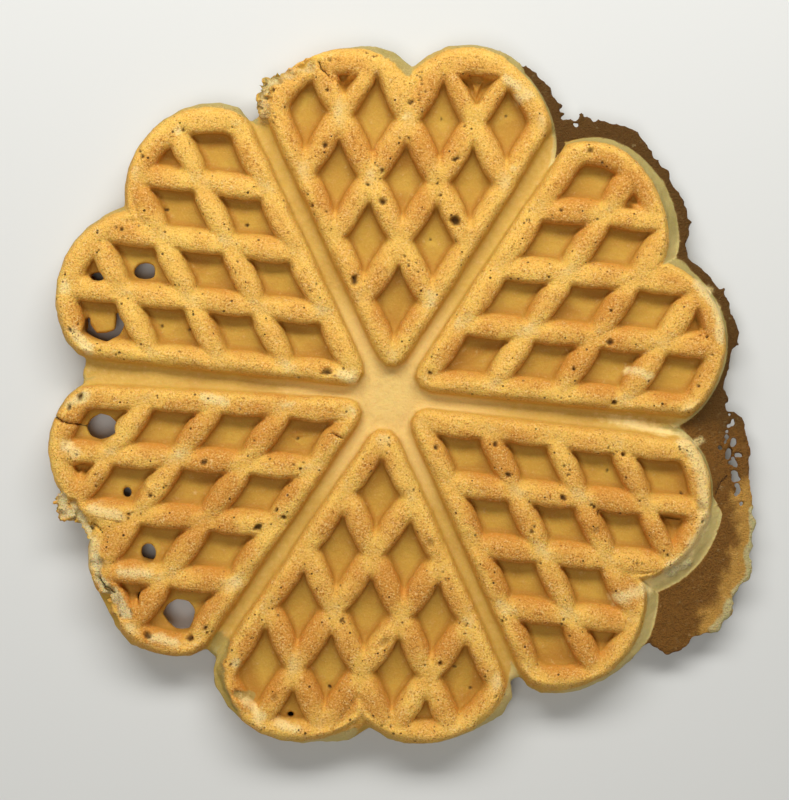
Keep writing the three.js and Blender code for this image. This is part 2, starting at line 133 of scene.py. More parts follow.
# How much of the skirt and overflow is left in places, the rest of it drawn in: angle
# from the hub and share.
SKIRT_LEFT = [
    (-168, 1), (-164, 0.5), (-160, 0.6), (-156, 1), (-131, 1), (-128, 0.4), (-122, 0.4),
    (-118, 0.8), (-110, 0.4), (-96, 0.6), (-92, 1), (-84, 1), (-78, 0.3), (-70, 0.4), (-64, 1),
    (-56, 1), (-52, 0.7), (-42, 0.6), (-38, 1), (5, 1), (6.5, 0.45), (12, 0.45), (14, 0.75),
    (22, 0.72), (28, 0.78), (31, 0.66), (34, 0.92), (38, 0.86), (42, 0.75), (47, 0.7),
    (50, 0.9), (54, 1.1), (62, 1.1), (66, 0.7), (71, 0.5), (75, 0.6), (82, 0.6), (85, 1),
    (96, 1), (99, 0.4), (111, 0.4), (114, 1),
]

# Larger pores in the upper crests: place and radius.
PORES = [
    (-28.2, 66.8, 0.82), (8.4, 66.3, 0.6), (-15.6, 57.2, 0.55), (-11.1, 52.6, 1.1),
    (9.0, 49.1, 1.5), (-28.9, 81.9, 0.55), (-44.3, 80.9, 0.8), (2.5, -60.1, 0.5),
    (-13.0, -62.8, 0.55), (-12.4, -81.7, 0.6), (-22.4, 4.9, 1.1), (5.7, 7.0, 0.55),
    (25.3, -10.9, 0.82), (9.3, -13.1, 0.7), (44.4, 71.3, 0.7), (37.8, 54.6, 0.63),
    (53.6, 28.3, 0.55), (54.1, 19.3, 0.96), (56.9, 3.0, 0.88), (45.1, -24.1, 0.82),
    (37.1, -34.1, 0.55), (15.0, -72.2, 0.82), (-37.8, -39.3, 1.1), (-54.0, -22.5, 0.82),
    (-68.0, -33.0, 0.55), (-17.0, 30.7, 1.1), (-89.4, -7.4, 1.0), (-92.2, -10.6, 0.8),
    (-65.5, -71.0, 1.2), (-54.1, -71.0, 1.1),
]
# Wide shallow pits, where a bubble burst against the plate.
BLISTERS = [
    (9.8, -39.4, 1.4), (-0.5, -67.5, 1.4), (54.9, -32.3, 1.1), (-29.5, -85.3, 1.1),
    (83.0, -23.6, 1.4),
]
# Pinholes in the floors of the cells.
FLOOR_PORES = [
    (-70.5, 46.0, 0.55), (-48.0, 43.5, 0.6), (-69.2, 13.9, 0.5), (-61.4, 13.5, 0.45),
    (-14.7, -81.6, 0.6), (-29.2, -14.1, 0.5), (3.0, 77.4, 0.4), (20.7, 79.7, 0.4),
    (47.8, 48.7, 0.4), (2.8, 43.9, 0.45), (-9.2, -45.9, 0.4), (57.0, -15.6, 0.45),
    (77.8, -20.2, 0.5), (36.4, -64.1, 0.4), (19.3, -73.3, 0.5), (24.1, -78.9, 0.45),
]
LOOSE_PORES = 620  # all of them, with small ones scattered in clusters over both faces
LOOSE_LEAST, LOOSE_SPREAD, LOOSE_MOST = 0.26, 0.11, 0.66  # radii of the small ones
LOOSE_STRAY = 1.5  # how far one lies from its cluster's middle
LOOSE_CLUSTER = (1, 6)
# How deep each kind is, as a multiple of its radius, and how dark the painted shade in it is.
PORE_DEPTH, BLISTER_DEPTH, FLOOR_PORE_DEPTH, LOOSE_DEPTH = 1.4, 0.5, 1.2, 1.5
BLISTER_SHADE = 0.4

# Streaks and patches on the upper face, each a half width and the line it follows.
PALE = [
    (1.6, [(-7.3, 76.6)]), (1.9, [(23.9, 64.6)]), (2.6, [(-55.5, -4.9), (-50.0, -5.4)]),
    (2.6, [(-92.7, -20.5), (-89.2, -23.0)]), (2.0, [(77.9, -7.9), (82.0, -5.2)]),
    (3.0, [(-83.5, -37.9), (-76.3, -38.9)]), (2.6, [(-74.4, -54.7), (-66.2, -54.6)]),
    (2.4, [(-19.4, 4.6), (-15.6, 3.4)]), (2.2, [(-28.4, -92.1), (-22.8, -93.5)]),
    (2.6, [(-40.9, -76.9)]), (2.4, [(-92.0, -9.4), (-87.7, -7.4)]),
    (2.2, [(-64.2, -71.5), (-57.5, -72.8)]), (2.8, [(-82.4, -47.0), (-82.0, -54.0)]),
    (3.4, [(77.0, -5.6), (81.4, -12.3), (83.9, -21.6), (84.0, -29.0), (80.6, -36.6)]),
    (3.2, [(79.0, -39.0), (74.3, -43.9), (68.0, -47.7), (62.0, -50.0)]),
    (2.6, [(56.0, -1.2), (72.0, -3.4)]), (2.6, [(-96.3, 23.2), (-96.2, 21.0)]),
    (2.6, [(-93.1, 10.3), (-88.3, 5.7)]), (1.6, [(-68.7, 67.3)]),
    (2.6, [(84.6, 22.0), (83.0, 31.0), (77.0, 37.6)]), (2.4, [(20.0, 89.0), (27.0, 85.0)]),
    (2.0, [(-37.4, -86.8), (-32.3, -90.8)]), (2.7, [(80.5, 36.4)]), (2.6, [(23.9, 84.1)]),
    (2.2, [(60.0, 12.0), (66.0, 11.4)]),
]
# Rims that crumbled and show their porous crumb: half width, how deep, and the line.
CRUMBLED = [
    (2.6, 1.2, [(-92.4, -36.4), (-91.1, -39.6)]),
    (2.4, 1.4, [(-89.1, -37.2), (-86.5, -41.4), (-84.1, -44.0)]),
    (2.0, 0.9, [(-81.3, -50.9), (-80.0, -56.1), (-77.6, -59.6)]),
    (2.4, 1.2, [(-75.6, -60.1), (-73.7, -63.1), (-72.1, -65.7)]),
    (2.4, 2.4, [(-46.1, 79.6), (-45.3, 83.0), (-42.0, 84.4), (-38.6, 85.6), (-34.4, 88.6)]),
    (1.8, 0.8, [(-46.2, 77.4), (-46.2, 74.1)]),
    (1.6, 0.4, [(76.3, -42.4), (81.0, -39.2)]),
]
# Cracks through the crust.
CRACKS = [
    (0.42, [(-96.5, -13.6), (-93.7, -14.7), (-90.9, -15.1), (-87.0, -15.5)]),
    (0.42, [(-20.0, -11.4), (-18.6, -12.1), (-16.6, -13.0)]),
    (0.5, [(-31.8, 89.6), (-31.1, 87.8), (-29.6, 86.8), (-27.3, 84.8)]),
    (0.45, [(87.4, -19.8), (88.6, -16.4), (90.2, -14.4)]),
    (0.6, [(-80.0, -56.6), (-78.3, -59.0), (-75.8, -60.4)]),
    (0.42, [(-83.4, -42.0), (-80.6, -43.6)]),
]
# Skirt that bulged out pale and olive, with the crest drawn back: half width, depth, line.
OLIVE = [
    (3.0, 0.8, [(-14.5, 95.5), (-10.5, 94.7)]),
    (3.7, 2.8, [(-45.9, -72.0), (-46.9, -77.8), (-45.5, -84.6), (-41.5, -91.0)]),
    (1.8, 1.6, [(-40.0, -85.4), (-36.1, -85.9)]),
]
# Three-cornered cells at the rim that came out wider, and how deep they are.
OPENED = [
    [(5.0, 89.7), (19.6, 90.4), (12.4, 80.4)], [(-27.6, 85.3), (-19.3, 88.2), (-23.8, 79.9)],
    [(56.6, 61.3), (54.1, 56.1), (59.3, 55.8)], [(77.7, 32.6), (74.8, 25.2), (80.9, 24.6)],
    [(70.5, -25.5), (79.9, -25.8), (76.3, -35.8)],
    [(-90.1, -25.0), (-83.5, -25.2), (-86.8, -31.6)],
]
OPENED_DEPTH = 4.6
# Round the flap of overflow the skirt is narrower: angle from the hub and width.
NO_FLAP = 9.0
FLAP_SKIRT = [
    (-46, NO_FLAP), (-42, 5.0), (-20, 4.6), (-14, 4.2), (-11.5, 1.0), (14, 1.2), (28, 1.6),
    (32, 3.6), (42, 3.6), (52, 2.2), (58, 1.6), (64, 0.8), (72, 1.0), (76, NO_FLAP),
]
OVERFLOW_BEGINS = (-44, -40)  # the angles over which it comes in
OVERFLOW_ENDS = (76, 82)
# The flap's outer edge: a pale raised bead, and the golden zone along it.
BEAD = [
    (1.3, [(97.6, -23.0), (98.6, -28.7), (98.5, -33.6)]), (1.9, [(98.3, -34.2), (98.0, -37.6)]),
    (1.9, [(98.6, -39.4), (98.9, -42.0), (96.8, -45.2), (95.2, -46.7)]),
    (1.9, [(93.7, -49.4), (93.4, -52.3), (91.9, -55.2), (90.3, -57.0)]),
]
GOLDEN = [(8.0, [(97.2, -20.5), (99.3, -31.6), (97.4, -42.4), (93.7, -50.5), (89.4, -58.6)])]
# Where the flap has begun to crack off: small ragged holes, each at its place.
PERFORATIONS = [
    (89.3, 4.0), (89.5, 2.5), (89.4, 1.0), (89.6, -0.6), (89.3, -2.2), (89.2, -3.8),
    (88.9, -5.2), (90.3, -7.2), (91.4, -7.6), (92.6, -8.6), (93.8, -8.8), (91.6, -9.6),
    (89.9, -9.1), (88.2, -8.0), (87.6, -6.8), (91.1, -11.0), (92.3, -11.7), (91.8, -13.1),
    (92.7, -13.9), (93.4, -15.1), (93.2, -16.8), (94.1, -17.9), (93.1, -19.0), (94.9, -19.9),
    (94.8, -21.7),
]
PERFORATION_RADIUS = (0.55, 1.0)
# Crumbs that cling to a rim: how many, their radii, how far they stray, their height and
# line. Those without a height lie on what is under them.
GRAINS = [
    (60, (0.9, 1.4), 1.6, (5.0, 10.4), [(-91.8, -35.6), (-91.0, -39.0), (-88.6, -39.6)]),
    (200, (0.45, 0.8), 2.4, (8.0, 11.9), [(-92.2, -35.6), (-91.4, -39.4), (-88.6, -40.0)]),
    (110, (0.45, 0.85), 1.8, (8.0, 11.8), [(-88.5, -38.6), (-84.1, -44.0)]),
    (120, (0.45, 0.85), 1.7, (8.4, 11.9), [(-81.6, -51.5), (-80.4, -56.1), (-77.4, -60.0)]),
    (140, (0.45, 0.85), 1.9, (8.2, 11.7), [(-75.8, -60.4), (-74.0, -63.4), (-72.1, -66.2)]),
    (90, (0.7, 1.3), 1.3, (6.0, 9.8), [(-46.8, 76.6), (-46.4, 80.4), (-45.2, 83.6)]),
    (60, (0.5, 1.0), 1.2, (5.6, 9.6), [(-43.0, 84.4), (-38.6, 86.0), (-34.4, 88.4)]),
    (60, (0.9, 1.4), 1.0, (4.0, 10.6), [(-45.6, 80.0), (-45.2, 73.0)]),
    (
        190, (0.4, 0.75), 1.9, (8.6, 12.0),
        [(-45.4, 73.6), (-45.6, 80.0), (-44.6, 83.4), (-40.0, 84.6), (-34.0, 87.6)],
    ),
    (12, (0.4, 0.7), 1.0, None, [(-69.9, -28.6), (-68.9, -29.6)]),
    (6, (0.35, 0.5), 0.8, None, [(-36.0, 80.5)]),
    (44, (0.5, 0.9), 1.0, None, [(77.9, -7.9), (82.0, -5.2)]),
    (14, (0.3, 0.5), 1.4, None, [(76.0, -43.0), (81.0, -39.6)]),
    (
        80, (0.4, 0.8), 1.0, (5.6, 6.6),
        [(52.6, 79.0), (58.5, 75.4), (63.0, 70.1), (67.3, 64.8), (71.3, 59.3), (73.8, 52.8)],
    ),
    (
        80, (0.4, 0.8), 1.0, (5.6, 6.6),
        [(79.0, 40.6), (84.2, 35.6), (87.0, 29.4), (89.8, 23.2), (86.6, 15.7)],
    ),
    (44, (0.4, 0.8), 1.0, (5.6, 6.6), [(22.0, 94.1), (28.0, 90.6), (33.2, 85.7), (37.2, 79.1)]),
    (40, (0.4, 0.8), 1.0, (5.6, 6.6), [(37.2, 79.1), (41.7, 80.7), (45.1, 79.9), (49.1, 79.9)]),
]
CRUMB_SQUASH = (0.7, 1)  # a crumb's other two radii, as a share of its first
TORN_ABOVE = 7  # crumbs that reach this height cling to torn crumb
CLING_HALF = 2.4  # half the width of that crumb
LOOSE_HALF = 3.0  # half the width round the crumbs that stays unsmoothed


# ------------------------------------------------------------------ small tools


def linear(hex_colour):
    """An sRGB hex value as a linear colour."""
    channels = [int(hex_colour[i : i + 2], 16) / 255 for i in (0, 2, 4)]
    return [c / 12.92 if c <= 0.04045 else ((c + 0.055) / 1.055) ** 2.4 for c in channels] + [1.0]


def ease(value, low, high):
    """Runs smoothly from 0 at low to 1 at high."""
    share = np.clip((value - low) / (high - low), 0, 1)
    return share * share * (3 - 2 * share)


def cloud(points, size, seed):
    """Smooth random values from -1 to 1 that change over about the given size."""
    cells = points / size
    corner = np.floor(cells).astype(np.int64)
    part = cells - corner
    part = part * part * (3 - 2 * part)
    total = np.zeros(len(points))
    for offset in itertools.product((0, 1), repeat=3):
        at = corner + np.array(offset)
        mixed = (at[:, 0] * 73856093) ^ (at[:, 1] * 19349663)
        mixed = mixed ^ (at[:, 2] * 83492791) ^ (seed * 265443)
        mixed = ((mixed ^ (mixed >> 13)) * 1274126177) & 0x7FFFFFFF
        mixed = mixed ^ (mixed >> 15)
        weight = np.prod(np.where(offset, part, 1 - part), axis=1)
        total += weight * ((mixed & 0xFFFF) / 32767.5 - 1)
    return total


def waves(points, table):
    """The sum of a table's waves at each point."""
    total = np.zeros(len(points))
    for height, length, seed in table:
        total += height * cloud(points, length, seed)
    return total


def points_of(mesh):
    flat = np.empty(len(mesh.vertices) * 3)
    mesh.vertices.foreach_get("co", flat)
    return flat.reshape(-1, 3) / MM


def normals_of(mesh):
    flat = np.empty(len(mesh.vertices) * 3)
    mesh.vertex_normals.foreach_get("vector", flat)
    return flat.reshape(-1, 3)


def move_points(mesh, points):
    mesh.vertices.foreach_set("co", (points * MM).ravel())
    mesh.update()


def relaxed(points, edges, passes, share=0.5):
    """The points, each drawn towards the middle of its neighbours."""
    count = np.bincount(edges.ravel(), minlength=len(points))[:, None]
    for _ in range(passes):
        total = np.empty_like(points)
        for axis in range(3):
            column = points[:, axis]
            total[:, axis] = np.bincount(edges[:, 0], column[edges[:, 1]], len(points))
            total[:, axis] += np.bincount(edges[:, 1], column[edges[:, 0]], len(points))
        points = points + share * (total / count - points)
    return points


def applied(piece):
    """The piece with its modifiers made part of its mesh."""
    graph = bpy.context.evaluated_depsgraph_get()
    mesh = bpy.data.meshes.new_from_object(piece.evaluated_get(graph))
    piece.modifiers.clear()
    old, piece.data = piece.data, mesh
    bpy.data.meshes.remove(old)
    return piece


def shown(name, shape):
    """The bmesh as an object in the scene."""
    mesh = bpy.data.meshes.new(name)
    shape.to_mesh(mesh)
    shape.free()
    piece = bpy.data.objects.new(name, mesh)
    bpy.context.scene.collection.objects.link(piece)
    return piece


def beside(points, table, ragged=0.35, sharp=0.35):
    """1 on the lines of a table of streaks, fading to 0 at their half widths."""
    found = np.zeros(len(points))
    wander = waves(points, WANDERING)
    for half, *_, line in table:
        corners = np.array(line, float)
        box = np.ptp(corners, axis=0) / 2 + 2 * half
        near = np.all(np.abs(points[:, :2] - corners.mean(axis=0)) < box, axis=1)
        flat = points[near, :2]
        away = np.full(len(flat), np.inf)
        for start, end in zip(corners, corners[1:] if len(corners) > 1 else corners):
            reach = end - start
            share = np.clip((flat - start) @ reach / max(reach @ reach, 1e-9), 0, 1)
            away = np.minimum(away, np.hypot(*(flat - start - share[:, None] * reach).T))
        away = away / half + ragged * wander[near]
        found[near] = np.maximum(found[near], 1 - ease(away, sharp, 1.0))
    return found


def within_opened(points):
    """0 at the edges of the opened cells, rising to 1 well inside them."""
    found = np.zeros(len(points))
    for corners in np.array(OPENED, float):
        depth = np.full(len(points), np.inf)
        following, other_corners = np.roll(corners, -1, axis=0), np.roll(corners, 1, axis=0)
        for start, end, other in zip(corners, following, other_corners):
            inward = np.array([start[1] - end[1], end[0] - start[0]]) / np.hypot(*(end - start))
            inward *= np.sign((other - start) @ inward)
            depth = np.minimum(depth, (points[:, :2] - start) @ inward)
        found = np.maximum(found, ease(depth + 0.2 * cloud(points, 1.8, 33), 0, 2.0))
    return found


def torn(points, sharp=0.35):
    """1 on the crumbled rims and the crumbs that cling to them, 0 on whole crust."""
    clinging = [
        (CLING_HALF, line) for *_, heights, line in GRAINS if heights and heights[1] > TORN_ABOVE
    ]
    return beside(points, CRUMBLED + clinging, 0.5, sharp) * upper(points)


def upper(points):
    """1 on the upper face, 0 on the underside."""
    return ease(points[:, 2], MIDDLE - 0.9, MIDDLE + 0.3)


# ------------------------------------------------------------------ the lattice of ribs


def pulled(flat):
    """How far the waffle was pulled at places."""
    move = np.zeros_like(flat)
    for x, y, along, across, reach in PULLS:
        away = np.square(flat - (x, y)).sum(axis=1)
        move += np.exp(-away / (2 * reach**2))[:, None] * (along, across)
    return move


def lattice(points):
    """Where points lie in the ribs: a dictionary of arrays.

    left and right count rib spaces from a heart's two borders, to_left and to_right are
    the distances to the nearest ribs, rim is the distance past the middle of the rim rib,
    outward points straight out from that rib, past is the distance past the skirt, turned
    the angle from the hub in degrees and brown how brown the heart's ribs are.
    """
    flat = points[:, :2] - pulled(points[:, :2])
    flat = points[:, :2] - pulled(flat) - HUB
    angle = np.degrees(np.arctan2(flat[:, 1], flat[:, 0]))
    index = np.round((90 - angle) / 60).astype(int) % len(HEARTS)
    across, along, rim, past = (np.zeros(len(points)) for _ in range(4))
    outward = np.zeros((len(points), 2))
    left_over = np.interp((angle + 180) % 360 - 180, *zip(*SKIRT_LEFT))
    for number, heart in enumerate(HEARTS):
        here = index == number
        turn = math.radians(heart["axis"] - 90)
        x = flat[here, 0] * math.cos(turn) + flat[here, 1] * math.sin(turn)
        y = -flat[here, 0] * math.sin(turn) + flat[here, 1] * math.cos(turn)
        x = (x - heart["shift"][0]) / heart["stretch"][0]
        y = (y - heart["shift"][1]) / heart["stretch"][1]
        on_right = (x > 0).astype(int)
        reach = np.array(heart["reach"])[on_right] / 2
        side_x = np.abs(x) - LOBE_ASIDE
        side_y = np.maximum(y - LOBE_ALONG - reach, np.where(side_x < 0, 0, LOBE_BEGINS))
        across[here], along[here] = x, y
        from_lobe = np.maximum(np.hypot(side_x, side_y), 1)
        rim[here] = from_lobe - LOBE_RADIUS - reach
        x, y = side_x * np.sign(x) / from_lobe, side_y / from_lobe
        outward[here, 0] = x * math.cos(turn) - y * math.sin(turn)
        outward[here, 1] = x * math.sin(turn) + y * math.cos(turn)
        from_hub = flat[here] / np.maximum(np.hypot(*flat[here].T), 1)[:, None]
        skirt = SKIRT + np.array(heart["bulge"])[on_right] + from_hub @ SKIRT_DRIFT
        past[here] = rim[here] - RIB_SHOULDER - skirt * left_over[here]
    total = (along - TIP) / CELL_HALF_LENGTH
    left = (total + across / CELL_HALF_WIDTH) / 2
    right = (total - across / CELL_HALF_WIDTH) / 2
    to_left = np.abs(left - np.round(left)) * CELL_PITCH
    to_right = np.abs(right - np.round(right)) * CELL_PITCH
    outside = -np.minimum(left, right) * CELL_PITCH
    outside = np.where((left < 0) & (right < 0), np.hypot(across, along - TIP), outside)
    to_inner_rib = np.minimum(np.minimum(to_left, to_right), np.abs(rim))
    return {
        "brown": np.array([heart["brown"] for heart in HEARTS])[index],
        "left": left,
        "right": right,
        "to_left": to_left,
        "to_right": to_right,
        "to_rib": np.where(outside > 0, outside, to_inner_rib),
        "rim": rim,
        "outward": outward,
        "past": past,
        "turned": (angle + 180) % 360 - 180,
    }


def span(places):
    """0 at the crossings of the ribs, 1 half-way between two of them."""
    on_left = places["to_left"] < places["to_right"]
    other = np.where(on_left, places["right"], places["left"])
    return 2 * np.abs(other - np.round(other))


def inside(places):
    """1 within a heart's borders and rim, fading to 0 past the middles of their ribs."""
    sides = np.minimum(places["left"], places["right"]) * CELL_PITCH
    return ease(sides, -1.2, 0.8) * ease(-places["rim"], -1.2, 0.8)


def on_overflow(points, places):
    """1 on the thin sheet that ran out past the skirts, 0 elsewhere."""
    turned = places["turned"]
    sector = ease(turned, *OVERFLOW_BEGINS) * (1 - ease(turned, *OVERFLOW_ENDS))
    thin = 1 - ease(np.abs(points[:, 2] - MIDDLE), 1.1, 2.0)
    flap = ease(places["rim"] - RIB_SHOULDER - flap_skirt(turned), -0.5, 0.5) * upper(points)
    return np.maximum(ease(places["past"], -0.9, 0.2), flap) * sector * thin


def flap_skirt(turned):
    """How wide the skirt is at each angle, where the flap of overflow laps it."""
    return np.interp(turned, *zip(*FLAP_SKIRT))


# ------------------------------------------------------------------ shaping the skin


def pierced(node, draw):
    """The node's skin, merged and pulled about, with small holes through the overflow."""
    skin = bmesh.new()
    skin.from_mesh(node.data)
    bmesh.ops.remove_doubles(skin, verts=skin.verts, dist=WELD * MM)
    crust = shown("waffle_crust", skin)
    points = points_of(crust.data)
    points[:, :2] += pulled(points[:, :2])
    places = lattice(points)
    drawn_in = 1 - np.interp(places["turned"], *zip(*SKIRT_LEFT))
    drawn_in *= np.clip(places["rim"] - RIB_SHOULDER, 0, SKIRT_REACH)
    points[:, :2] -= places["outward"] * drawn_in[:, None]
    move_points(crust.data, points)
    holes = bmesh.new()
    for x, y in PERFORATIONS:
        radius = draw.uniform(*PERFORATION_RADIUS)
        turn = Matrix.Rotation(draw.uniform(0, math.pi), 4, "Z")
        shape = Matrix.Diagonal((radius * draw.uniform(0.8, 1.4), radius, 6, 1))
        place = Matrix.Translation((x * MM, y * MM, MIDDLE * MM))
        whole = place @ turn @ Matrix.Scale(MM, 4) @ shape
        bmesh.ops.create_icosphere(holes, subdivisions=1, radius=1, matrix=whole)
    cutter = shown("perforations", holes)
    cut = crust.modifiers.new("pierce", "BOOLEAN")
    cut.operation = "DIFFERENCE"
    cut.solver = "EXACT"
    cut.use_self = True
    cut.object = cutter
    applied(crust)
    bpy.data.objects.remove(cutter)
    return crust


def strewn(crust, draw):
    """The skin with the crumbs that cling to it laid in, before all is netted as one."""
    skin = bmesh.new()
    skin.from_mesh(crust.data)
    ground = BVHTree.FromBMesh(skin)
    for count, radii, stray, heights, line in GRAINS:
        corners = np.array(line, float)
        for _ in range(count):
            place = draw.uniform(0, max(len(corners) - 1, 0))
            start = min(int(place), max(len(corners) - 2, 0))
            end = min(start + 1, len(corners) - 1)
            on_line = corners[start] + (place - start) * (corners[end] - corners[start])
            x, y = on_line + draw.normal(0, stray / 2, 2)
            radius = draw.uniform(*radii)
            broad, tall = draw.uniform(*CRUMB_SQUASH), draw.uniform(*CRUMB_SQUASH)
            squash = (radius, radius * broad, radius * tall, 1)
            angle = draw.uniform(0, math.pi)
            turn = Matrix.Rotation(angle, 4, Vector(draw.normal(0, 1, 3)).normalized())
            height = draw.uniform(*(heights or (0, 1)))
            if heights is None:
                hit = ground.ray_cast(Vector((x * MM, y * MM, 1)), Vector((0, 0, -1)))[0]
                height = hit.z / MM + height * radius if hit else MIDDLE
            to_place = Matrix.Translation((x * MM, y * MM, height * MM))
            whole = to_place @ turn @ Matrix.Scale(MM, 4) @ Matrix.Diagonal(squash)
            bmesh.ops.create_icosphere(skin, subdivisions=1, radius=1, matrix=whole)
    skin.to_mesh(crust.data)
    skin.free()
    return crust


def netted(crust):
    """The skin laid on a fine even net: what overlaps grows together, what touches nothing goes."""
    net = crust.modifiers.new("net", "REMESH")
    net.mode = "VOXEL"
    net.voxel_size = NET * MM
    applied(crust)
    skin = bmesh.new()
    skin.from_mesh(crust.data)
    loose = set(skin.verts)
    islands = []
    while loose:
        island = {loose.pop()}
        edge = list(island)
        while edge:
            near = {link.other_vert(vert) for vert in edge for link in vert.link_edges} - island
            island |= near
            edge = list(near)
        loose -= island
        islands.append(island)
    waffle = max(islands, key=len)
    adrift = [vert for vert in skin.verts if vert not in waffle]
    bmesh.ops.delete(skin, geom=adrift, context="VERTS")
    skin.to_mesh(crust.data)
    skin.free()
    return crust


def bake_ribs(points, normals, places):
    """Ribs swell between crossings, sink at them, are domed, and dent at the notches."""
    height = np.abs(points[:, 2] - MIDDLE)
    raised = ease(height, FLOOR + 0.2, FLOOR + 2.2)
    crest = ease(height, FLOOR + 3.0, FLOOR + 4.4)
    within = inside(places)
    belly = ease(span(places), 0.12, 0.8)
    swell = raised * within * (belly * (SWELL + PINCH) - PINCH)
    points = points + normals * np.column_stack([swell, swell, swell * SWELL_UPWARD])
    crossing = np.exp(-(places["to_left"] ** 2 + places["to_right"] ** 2) / (2 * SADDLE_HALF**2))
    dip = SADDLE * crossing * ease(-places["rim"], -1.0, 2.0)
    dome = DOME * np.clip(places["to_rib"] / RIB_SHOULDER, 0, 1.2) ** 2
    notch = np.minimum(places["left"], places["right"]) - 2
    dent = NOTCH_DENT * ease(notch * CELL_PITCH, 1.7, 2.9) * ease(-places["rim"], -1.4, -0.4)
    sink = (np.maximum(dip, dent) + dome) * crest
    points[:, 2] -= np.sign(points[:, 2] - MIDDLE) * sink
    width = flap_skirt(places["turned"])
    wide = width * (1 + 0.3 * cloud(points, 7.0, 10))
    shelf = SHELF * ease(places["rim"] - RIB_SHOULDER, -SHELF_REACH, 0.9)
    slope = ease(places["rim"] - RIB_SHOULDER, -0.2, wide)
    lapped = THICKNESS - shelf - (MIDDLE - FLAP_TOP - SHELF) * slope
    pared = (width < NO_FLAP - 1) & (points[:, 2] > MIDDLE)
    pared &= places["rim"] > RIB_SHOULDER - SHELF_REACH
    points[pared, 2] = np.minimum(points[pared, 2], lapped[pared])
    lean = ease(points[:, 2], MIDDLE + FLOOR, THICKNESS) * within
    points[:, :2] += lean[:, None] * LEAN
    return points


def roughen(points, normals, places):
    """Uneven walls and crests, near-smooth floors, a rough overflow, crumbled rims."""
    height = np.abs(points[:, 2] - MIDDLE)
    raised = ease(height, FLOOR + 0.2, FLOOR + 2.0)
    raised = np.maximum(raised, ease(places["rim"] - RIB_SHOULDER, 0, 1.5))
    overflow = on_overflow(points, places)
    bead = beside(points, BEAD) * overflow
    crumbled = torn(points)
    wave = waves(points, WAVES) + waves(points, FINE_WAVES)
    wave += waves(points, SKIRT_WAVES) * ease(places["rim"] - RIB_SHOULDER, 0.5, 2.0)
    calm = waves(points, FLOOR_WAVES)
    crisp = waves(points, CRISP_WAVES)
    crumb = waves(points, CRUMB_WAVES)
    lumps = 0.55 + 0.45 * cloud(points, 2.6, 14)
    move = (raised * wave + (1 - raised) * calm) * (1 - overflow) + crisp * overflow
    move = move * (1 - crumbled) + crumb * crumbled + lumps * bead
    points = points + normals * move[:, None]
    above_floor = ease(points[:, 2], MIDDLE + 1.4, THICKNESS - 0.6)
    points[:, 2] -= OPENED_DEPTH * within_opened(points) * above_floor
    for streak in OLIVE:
        above_seam = ease(points[:, 2], MIDDLE + 1.6, THICKNESS - 1)
        points[:, 2] -= streak[1] * beside(points, [streak], 0.2) * above_seam
    for streak in CRUMBLED:
        eaten = streak[1] * (0.8 + 0.5 * cloud(points, 2.4, 15) + 0.3 * cloud(points, 1.2, 16))
        above_seam = ease(points[:, 2], MIDDLE, THICKNESS - 1.5)
        points[:, 2] -= beside(points, [streak]) * eaten * above_seam
    ragged = overflow * waves(points, RAGGED_WAVES)
    sideways = normals * np.array([1, 1, 0])
    return points + sideways * ragged[:, None]


def cracked(points, normals):
    """Pushes the cracks in, narrow and steep, from the upper face."""
    gap = beside(points, CRACKS, 0.25) * upper(points)
    depth = 0.4 + 0.9 * ease(np.abs(points[:, 2] - MIDDLE), 1.0, 3.0)
    return points - normals * (depth * gap)[:, None]


def pore_list(points, places, draw):
    """All pores as place, radius, depth and the darkness of the painted shade in them: the named,
    then loose ones in clusters.
    """
    pores = []
    for table, z, depth, dark in (
        (PORES, THICKNESS, PORE_DEPTH, 1),
        (BLISTERS, THICKNESS, BLISTER_DEPTH, BLISTER_SHADE),
        (FLOOR_PORES, MIDDLE + FLOOR, FLOOR_PORE_DEPTH, 1),
    ):
        pores += [(Vector((x, y, z)), radius, depth * radius, dark) for x, y, radius in table]
    height = np.abs(points[:, 2] - MIDDLE)
    crest = np.flatnonzero((height > FLOOR + 3.8) & (places["past"] < 0))
    while len(pores) < LOOSE_PORES:
        middle = points[crest[draw.integers(len(crest))]]
        for _ in range(draw.integers(*LOOSE_CLUSTER)):
            away = draw.normal(0, LOOSE_STRAY, 3) * np.array([1, 1, 0])
            radius = LOOSE_LEAST + draw.exponential(LOOSE_SPREAD)
            pores.append((Vector(middle + away), min(radius, LOOSE_MOST), LOOSE_DEPTH * radius, 1))
    return pores


def press_pores(points, normals, pores, draw):
    """Pushes the pores in, and returns the points with how much painted shade each gets from lying
    in a pore.
    """
    tree = kdtree.KDTree(len(points))
    for number, point in enumerate(points):
        tree.insert(point, number)
    tree.balance()
    pore_shade = np.zeros(len(points))
    push = np.zeros(len(points))
    for place, radius, depth, dark in pores:
        stretch = 1 + 0.5 * draw.random()
        turn = draw.random() * math.pi
        reach = radius * stretch * 1.5
        found = [number for _, number, _ in tree.find_range(place, reach)]
        if not found:
            continue
        near = np.array(found)
        x, y = (points[near, :2] - np.array(place[:2])).T
        along = (x * math.cos(turn) + y * math.sin(turn)) / (radius * stretch)
        across = (y * math.cos(turn) - x * math.sin(turn)) / radius
        away = np.hypot(along, across) * (1 + 0.3 * cloud(points[near], 0.7, 11))
        hollow = 1 - ease(away, 0.45, 1.15)
        push[near] = np.maximum(push[near], depth * hollow)
        pore_shade[near] = np.maximum(pore_shade[near], hollow * dark * min(1, depth / 0.5))
    return points - normals * push[:, None], pore_shade


def keep_within(points):
    """Nothing sinks below what the waffle lies on or stands out past its crests."""
    points[:, 2] = np.clip(points[:, 2], 0.0, THICKNESS + CREST_SLACK)
    return points


